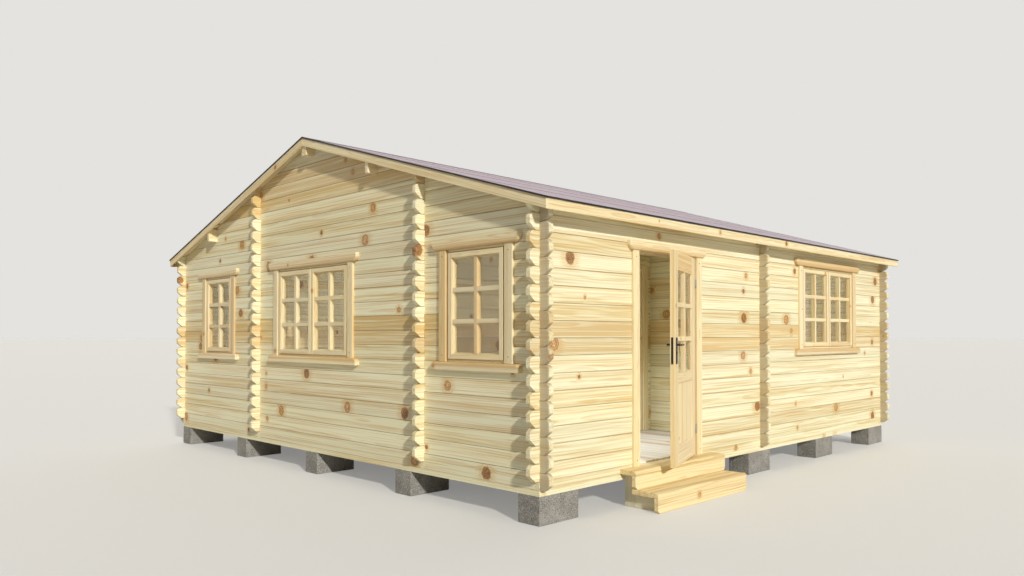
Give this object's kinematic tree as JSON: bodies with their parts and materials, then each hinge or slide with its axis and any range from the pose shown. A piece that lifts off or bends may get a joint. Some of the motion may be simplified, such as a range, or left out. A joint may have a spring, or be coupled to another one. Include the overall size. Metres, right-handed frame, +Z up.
{
  "type": "log summer house",
  "caption": "Log summer house on concrete blocks with a low gable roof, glazed windows, log inner walls, an entrance door that swings outwards, a lever handle and timber steps.",
  "frame": {"origin": "on the ground under the middle of the plan, at the foot of the middle foundation block", "axes": "+X along the eaves walls, +Y from the entrance wall to the back wall, +Z up"},
  "size_m": [7.244, 7.372, 3.6275],
  "materials": {
    "concrete": "rough",
    "sill_timber": "planed",
    "floor_boards": "planed",
    "pine_logs": "planed",
    "pine_joinery": "planed",
    "roof_timber": "planed",
    "roof_covering": "satin",
    "glass": "clear",
    "door_pine": "planed",
    "hinge_steel": "satin",
    "black_metal": "satin",
    "step_timber": "planed"
  },
  "bodies": {
    "house": {"foundation_blocks": "concrete", "sill_beams": "sill_timber", "floor_joists": "sill_timber", "floor_boards": "floor_boards", "front_wall_left": "pine_logs", "front_wall_right": "pine_logs", "front_wall_over_door": "pine_logs", "back_wall": "pine_logs", "left_gable_wall": "pine_logs", "right_gable_wall": "pine_logs", "hall_wall": "pine_logs", "bedroom_wall": "pine_logs", "cross_wall": "pine_logs", "window_frames": "pine_joinery", "window_sashes": "pine_joinery", "window_casings": "pine_joinery", "window_head_trims": "pine_joinery", "window_sills": "pine_joinery", "door_frame": "pine_joinery", "door_threshold": "pine_joinery", "door_casing": "pine_joinery", "door_head_trim": "pine_joinery", "inner_door_linings": "pine_joinery", "inner_door_casings": "pine_joinery", "ridge_purlin": "roof_timber", "roof_purlins": "roof_timber", "roof_deck_front": "roof_timber", "roof_deck_back": "roof_timber", "left_barge_boards": "roof_timber", "right_barge_boards": "roof_timber", "front_fascia": "roof_timber", "back_fascia": "roof_timber", "roof_covering_front": "roof_covering", "roof_covering_back": "roof_covering", "window_glass": "glass", "jamb_hinges": "hinge_steel", "step_stringers": "step_timber", "step_risers": "step_timber", "step_treads": "step_timber"},
    "door": {"door_leaf_frame": "door_pine", "door_panel": "door_pine", "door_glass": "glass", "leaf_hinges": "hinge_steel", "handle_plates": "black_metal", "lock_plate": "black_metal"},
    "handle": {"door_levers": "black_metal"}
  },
  "joints": [
    {"name": "door_swing", "type": "hinge", "parent": "house", "child": "door", "pos_m": [-1.2905, -3.41, 1.278], "axis": [0, 0, 1], "range_deg": [-21, 94]},
    {"name": "handle_turn", "type": "hinge", "parent": "door", "child": "handle", "pos_m": [-2.06444, -3.70709, 1.405], "axis": [-0.3584, 0.9336, 0], "range_deg": [0, 40]}
  ]
}
